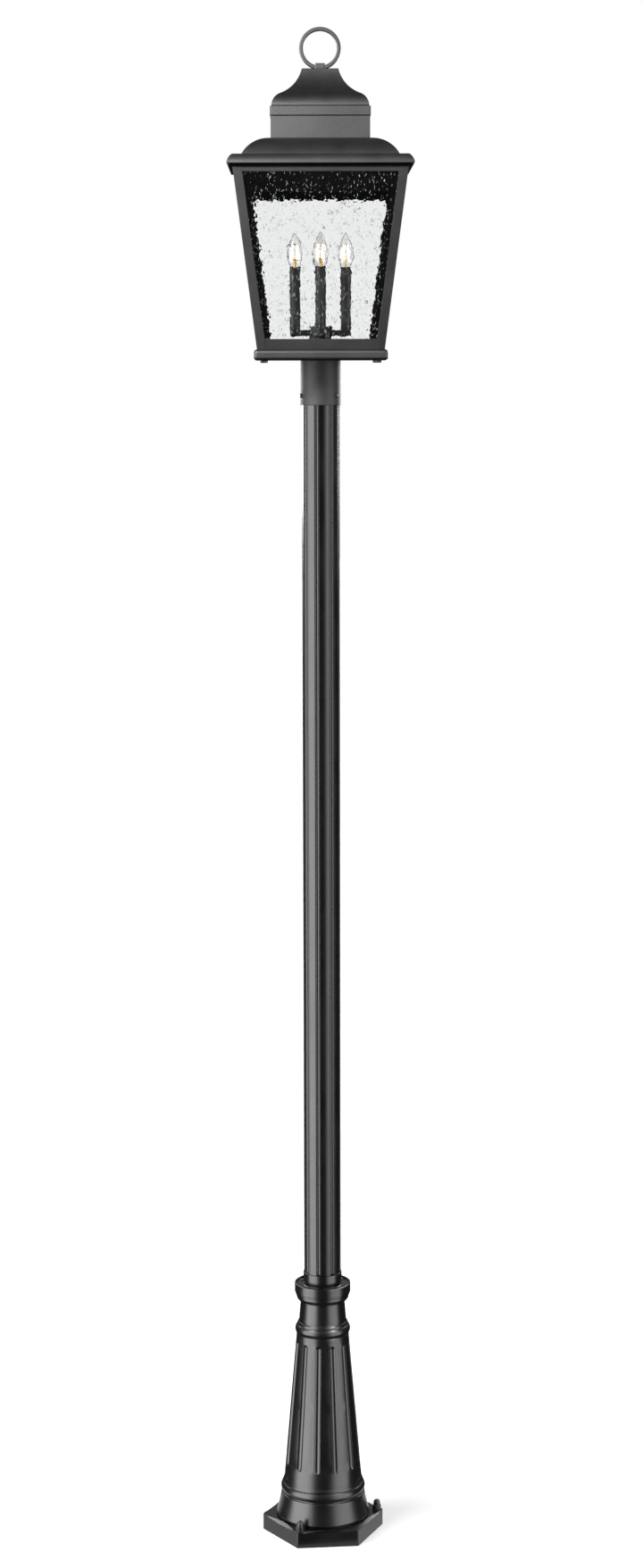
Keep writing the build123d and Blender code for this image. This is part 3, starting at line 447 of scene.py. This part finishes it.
def seed_bubble():
    """One bubble, drawn long and pointed by the pull of the sheet. Its faces look into the
    bubble, because the glass is outside it."""
    bpy.ops.object.select_all(action="DESELECT")
    bpy.ops.mesh.primitive_uv_sphere_add(segments=BUBBLE_SEGMENTS, ring_count=BUBBLE_RINGS,
                                         radius=BUBBLE_R, location=(0, 0, 0))
    bubble = bpy.context.active_object
    bpy.ops.object.mode_set(mode="EDIT")
    select_vertices(bubble, lambda co: co.z > BUBBLE_TIP)
    bpy.ops.transform.translate(value=(0, 0, BUBBLE_TOP_PULL))
    select_vertices(bubble, lambda co: co.z < -BUBBLE_TIP)
    bpy.ops.transform.translate(value=(0, 0, -BUBBLE_FOOT_PULL))
    select_vertices(bubble, lambda co: abs(co.z) < BUBBLE_WAIST)
    bpy.ops.transform.resize(value=(1.0, BUBBLE_FLAT, 1.0))
    bpy.ops.mesh.select_all(action="SELECT")
    bpy.ops.mesh.flip_normals()
    bpy.ops.object.mode_set(mode="OBJECT")
    bpy.ops.object.shade_smooth()
    dress(bubble, SEED_SKIN)
    return bubble


def seeded_pane(side, quarter, bubble):
    """A pane and its seeds, most of them small, some long streaks, all drawn larger than the
    real half millimetre so that they show in the render."""
    low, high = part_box("glass_pane_front")
    height = high.z - low.z
    pane = copied_node("glass_pane_" + side, "pane_of_seeded_glass_" + side)
    bpy.ops.object.shade_flat()
    dress(pane, SEEDED_GLASS)
    chance = random.Random(FIRST_DRAW + quarter)
    turned = Matrix.Rotation(radians(90) * quarter, 4, "Z")
    pieces = [pane]
    for _ in range(SEEDS_PER_PANE):
        up = chance.uniform(SEED_EDGE, height - SEED_EDGE)
        reach = high.x - (height - up) * tan(PANE_LEAN) - SEED_EDGE
        across = chance.uniform(-reach, reach)
        size = chance.random() ** SEED_SMALLNESS
        wide = (SEED_W_MM + SEED_W_MORE_MM * size) * MM * chance.uniform(*SEED_W_UNEVEN)
        tall = wide * chance.uniform(*SEED_STRETCH)
        off = chance.uniform(-SEED_OFF_MM, SEED_OFF_MM) * MM
        middle = high.y - PANE_T / 2 - up * tan(PANE_LEAN) + off
        tilt = radians(chance.gauss(0, SEED_TILT))
        stretched = Matrix.Diagonal((wide, min(wide, SEED_DEPTH), tall, 1))
        lie = Matrix.Rotation(PANE_LEAN, 4, "X") @ Matrix.Rotation(tilt, 4, "Y")
        place = Matrix.Translation((across, middle, low.z + up))
        mesh = bubble.data.copy()
        mesh.transform(turned @ place @ lie @ stretched)
        pieces.append(link_new("seed", mesh))
    pane = joined(pieces, pane.name)
    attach(pane, "cage")
    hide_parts("glass_pane_" + side)


bubble = seed_bubble()
for quarter, side in enumerate(SIDES):
    seeded_pane(side, quarter, bubble)
bpy.data.objects.remove(bubble)


# Lit strips: the phosphor coat on the bulb's upright strips


def lit_strip():
    """A round-ended coat that covers one strip."""
    bpy.ops.object.select_all(action="DESELECT")
    bpy.ops.mesh.primitive_cylinder_add(vertices=STRIP_SEGMENTS, radius=STRIP_COAT_R,
                                        depth=STRIP_LENGTH, location=(0, 0, 0))
    strip = bpy.context.active_object
    bpy.ops.object.mode_set(mode="EDIT")
    select_ends(strip)
    bpy.ops.mesh.inset(thickness=STRIP_END_IN, depth=STRIP_END_OUT)
    bpy.ops.object.mode_set(mode="OBJECT")
    bpy.ops.object.shade_smooth_by_angle(angle=STRIP_SMOOTH)
    return strip


def lit_strips(side, model):
    """The coats of one bulb's strips, on a circle round the bulb's axis."""
    low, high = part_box("bulb_base_" + side)
    centre = (low + high) / 2
    middle = high.z - STRIP_TOP_DROP - STRIP_LENGTH / 2
    pieces = []
    for index in range(STRIPS_PER_BULB):
        angle = radians(FIRST_STRIP + 360 / STRIPS_PER_BULB * index)
        place = (centre.x + STRIP_CIRCLE / 2 * cos(angle),
                 centre.y + STRIP_CIRCLE / 2 * sin(angle), middle)
        mesh = model.data.copy()
        mesh.transform(Matrix.Translation(place))
        pieces.append(link_new("strip", mesh))
    strips = joined(pieces, "lit_strips_" + side)
    dress(strips, LIT_STRIP)
    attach(strips, "bulb_" + side)


strip = lit_strip()
for side in SIDES:
    lit_strips(side, strip)
bpy.data.objects.remove(strip)


# Belts: black sealer above and below the cap's band, and a black band round the hem under the eave
# as painted shadow of the eave


def belt_round(name, low, height, half, material):
    """A square belt of sealer, or of painted eave shadow, whose skin stands a hair proud of the
    sheet.
    """
    bpy.ops.object.select_all(action="DESELECT")
    bpy.ops.mesh.primitive_cube_add(size=1.0, location=(0, 0, 0))
    belt = bpy.context.active_object
    belt.name = name
    bpy.ops.object.mode_set(mode="EDIT")
    select_ends(belt)
    bpy.ops.mesh.delete(type="FACE")
    bpy.ops.mesh.select_all(action="SELECT")
    bpy.ops.transform.resize(value=(2 * half, 2 * half, height))
    bpy.ops.transform.translate(value=(0, 0, low + height / 2))
    bpy.ops.object.mode_set(mode="OBJECT")
    wall = belt.modifiers.new("wall", "SOLIDIFY")
    wall.thickness = BELT_WALL
    wall.offset = -1.0
    only(belt)
    bpy.ops.object.modifier_apply(modifier=wall.name)
    dress(belt, material)
    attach(belt, "cage")


band_low, band_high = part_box("cap_band")
chimney_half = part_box("chimney")[1].x
cap_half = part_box("cap")[1].x
roof_low, roof_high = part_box("roof_pan")
belt_round("sealer_under_band", band_low.z - SEAM_H, SEAM_H, chimney_half + SEALER_PROUD,
           SEAM_SEALER)
belt_round("sealer_over_band", band_high.z, SEAM_H, cap_half + SEALER_PROUD, SEAM_SEALER)
# A black band standing in for the eave's shadow on the frame: painted shadow
belt_round("band_of_painted_shadow_under_eave", roof_low.z - EAVE_SHADOW_DROP, EAVE_SHADOW_H,
           roof_high.x - HEM_SETBACK + EAVE_SHADOW_PROUD, PAINTED_EAVE_SHADOW)


# Floor, card, sky, camera and lights


def pale_floor():
    """A plain pale floor that doesn't show in reflections or through the glass."""
    material, tree, surface, place = new_finish(
        "pale_studio_floor", {"Roughness": FLOOR_ROUGHNESS, "Specular IOR Level": 0.0,
                              "Emission Color": srgb("#ffffff"), "Emission Strength": FLOOR_GLOW})
    cloud = add_node(tree, "ShaderNodeTexNoise",
                     {"Vector": place, "Scale": FLOOR_CLOUDS, "Detail": 2.0})
    tint = add_node(tree, "ShaderNodeMix",
                    {0: cloud.outputs["Fac"], 6: srgb("#f6f6f5"), 7: srgb("#fafafa")},
                    data_type="RGBA")
    tree.links.new(tint.outputs[2], surface.inputs["Base Color"])

    bpy.ops.object.select_all(action="DESELECT")
    bpy.ops.mesh.primitive_plane_add(size=FLOOR_SIZE, location=(0, 0, 0))
    floor = bpy.context.active_object
    floor.name = "floor"
    floor.data.materials.append(material)
    floor.visible_glossy = False
    floor.visible_diffuse = False
    floor.visible_shadow = False
    floor.visible_transmission = False


def foot_card():
    """A pale card under the foot that only reflections see: the foot's deck and cup mirror it."""
    material, tree, surface, place = new_finish(
        "pale_lit_card", {"Base Color": srgb("#000000"), "Emission Color": srgb("#ffffff")})
    shade = add_node(tree, "ShaderNodeTexNoise", {"Vector": place, "Scale": CARD_CLOUDS})
    glow = add_node(tree, "ShaderNodeMapRange",
                    {"Value": shade.outputs["Fac"], "To Min": CARD_GLOW[0], "To Max": CARD_GLOW[1]})
    tree.links.new(glow.outputs["Result"], surface.inputs["Emission Strength"])

    bpy.ops.object.select_all(action="DESELECT")
    bpy.ops.mesh.primitive_plane_add(size=1.0, location=CARD_PLACE)
    card = bpy.context.active_object
    card.name = "pale_card_behind_foot"
    bpy.ops.object.mode_set(mode="EDIT")
    bpy.ops.transform.resize(value=CARD_SIZE)
    bpy.ops.object.mode_set(mode="OBJECT")
    card.data.materials.append(material)
    card.visible_camera = False
    card.visible_diffuse = False
    card.visible_transmission = False
    card.visible_shadow = False


def light_bank(tree, edges, power):
    """A soft-edged bank of light. Each edge has the angle that it follows, the degrees where the
    bank is dark and the degrees where it is fully bright."""
    glow = power
    for angle, dark, bright in edges:
        edge = add_node(tree, "ShaderNodeMapRange",
                        {"Value": angle, "From Min": radians(dark), "From Max": radians(bright)},
                        interpolation_type="SMOOTHSTEP")
        lit = add_node(tree, "ShaderNodeMath", {0: edge.outputs["Result"], 1: glow},
                       operation="MULTIPLY")
        glow = lit.outputs[0]
    return glow


def studio_sky():
    """The camera sees white, clear glass shows a pale backdrop, and all else is lit by soft banks
    left and right of the camera with a dim glow between and behind them."""
    world = bpy.context.scene.world or bpy.data.worlds.new("studio")
    bpy.context.scene.world = world
    world.use_nodes = True
    tree = world.node_tree
    tree.nodes.clear()
    toward = add_node(tree, "ShaderNodeTexCoord").outputs["Generated"]
    split = add_node(tree, "ShaderNodeSeparateXYZ", {0: toward})
    ahead = add_node(tree, "ShaderNodeMath", {0: split.outputs["Y"], 1: -1.0},
                     operation="MULTIPLY").outputs[0]
    turn = add_node(tree, "ShaderNodeMath", {0: split.outputs["X"], 1: ahead},
                    operation="ARCTAN2").outputs[0]
    rise = add_node(tree, "ShaderNodeMath", {0: split.outputs["Z"]},
                    operation="ARCSINE").outputs[0]

    banks = [light_bank(tree, ((turn, *left), (turn, *right), (rise, *low), (rise, *high)), power)
             for left, right, low, high, power in SKY_BANKS]
    depth, low, high, power = BACK_GLOW
    banks.append(light_bank(tree, ((split.outputs["Y"], *depth), (rise, *low), (rise, *high)),
                            power))
    lit = SKY_DIM
    for bank in banks:
        lit = add_node(tree, "ShaderNodeMath", {0: bank, 1: lit}, operation="ADD").outputs[0]

    low, high, power, beyond = BACKDROP
    backdrop = add_node(tree, "ShaderNodeMath",
                        {0: light_bank(tree, ((rise, *low), (rise, *high)), power), 1: beyond},
                        operation="ADD").outputs[0]

    path = add_node(tree, "ShaderNodeLightPath")
    bounces = add_node(tree, "ShaderNodeMath",
                       {0: path.outputs["Diffuse Depth"], 1: path.outputs["Glossy Depth"]},
                       operation="ADD").outputs[0]
    straight = add_node(tree, "ShaderNodeMath", {0: bounces, 1: 0.5},
                        operation="LESS_THAN").outputs[0]
    clear = add_node(tree, "ShaderNodeMath", {0: path.outputs["Is Transmission Ray"], 1: straight},
                     operation="MULTIPLY").outputs[0]
    through = add_node(tree, "ShaderNodeMix", {0: clear, 2: lit, 3: backdrop},
                       data_type="FLOAT").outputs[0]
    seen = add_node(tree, "ShaderNodeMix", {0: path.outputs["Is Camera Ray"], 2: through, 3: 1.0},
                    data_type="FLOAT").outputs[0]
    sky = add_node(tree, "ShaderNodeBackground", {"Color": (1, 1, 1, 1), "Strength": seen})
    add_node(tree, "ShaderNodeOutputWorld", {"Surface": sky.outputs[0]})


def photo_camera():
    """The camera that took the photograph."""
    scene = bpy.context.scene
    scene.view_settings.view_transform = "Standard"
    scene.view_settings.look = "None"
    data = bpy.data.cameras.new("camera")
    camera = bpy.data.objects.new("camera", data)
    scene.collection.objects.link(camera)
    data.sensor_fit = "AUTO"
    data.sensor_width = SENSOR_MM
    data.lens = LENS_MM
    data.clip_end = SIGHT_END
    place = Vector((sin(CAMERA_AZIMUTH), -cos(CAMERA_AZIMUTH), 0)) * CAMERA_DISTANCE
    place.z = CAMERA_HEIGHT
    turn = Matrix.Rotation(CAMERA_AZIMUTH, 4, "Z")
    tilt = Matrix.Rotation(radians(90) - CAMERA_DOWN, 4, "X")
    roll = Matrix.Rotation(CAMERA_ROLL, 4, "Z")
    camera.matrix_world = Matrix.Translation(place) @ turn @ tilt @ roll
    scene.camera = camera


def light_for(name, place, aim, size, watts, finishes):
    """A soft light that reaches only the CAD nodes of those finishes."""
    data = bpy.data.lights.new(name, "AREA")
    data.shape = "RECTANGLE"
    data.size, data.size_y = size
    data.energy = watts
    light = bpy.data.objects.new(name, data)
    bpy.context.scene.collection.objects.link(light)
    place, aim = Vector(place), Vector(aim)
    pointed = (aim - place).to_track_quat("-Z", "Y").to_matrix().to_4x4()
    light.matrix_world = Matrix.Translation(place) @ pointed
    light.visible_camera = False
    light.visible_transmission = False
    lit = bpy.data.collections.new("lit_by_" + name)
    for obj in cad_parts.values():
        if obj.data.materials[0] in finishes:
            lit.objects.link(obj)
    light.light_linking.receiver_collection = lit


pale_floor()
foot_card()
studio_sky()
photo_camera()

LANTERN_FINISHES = (LANTERN_COAT, RING_COAT, COLLAR_COAT)
BASE_FINISHES = (CAST_PAINT, SCREW_PAINT)
OUTER_FINISHES = (POST_PAINT, *BASE_FINISHES, *LANTERN_FINISHES)
# name, place, aim, width and height in metres, watts, what it lights
LIGHTS = (
    ("lantern_light", (-0.75, -1.25, 3.28), (0.0, 0.0, 2.75), (0.9, 0.4), 72.0, LANTERN_FINISHES),
    ("base_light_left", (-0.95, -0.6, 1.75), (0.0, 0.0, 0.1), (0.45, 0.45), 12.0, BASE_FINISHES),
    ("base_light_right", (0.95, -0.6, 1.75), (0.0, 0.0, 0.1), (0.45, 0.45), 22.0, BASE_FINISHES),
    ("back_light_left", (-1.5, 2.2, 2.6), (0.0, 0.0, 1.8), (1.2, 1.2), 75.0, OUTER_FINISHES),
    ("back_light_right", (1.5, 2.2, 2.6), (0.0, 0.0, 1.8), (1.2, 1.2), 75.0, OUTER_FINISHES),
)
for light in LIGHTS:
    light_for(*light)
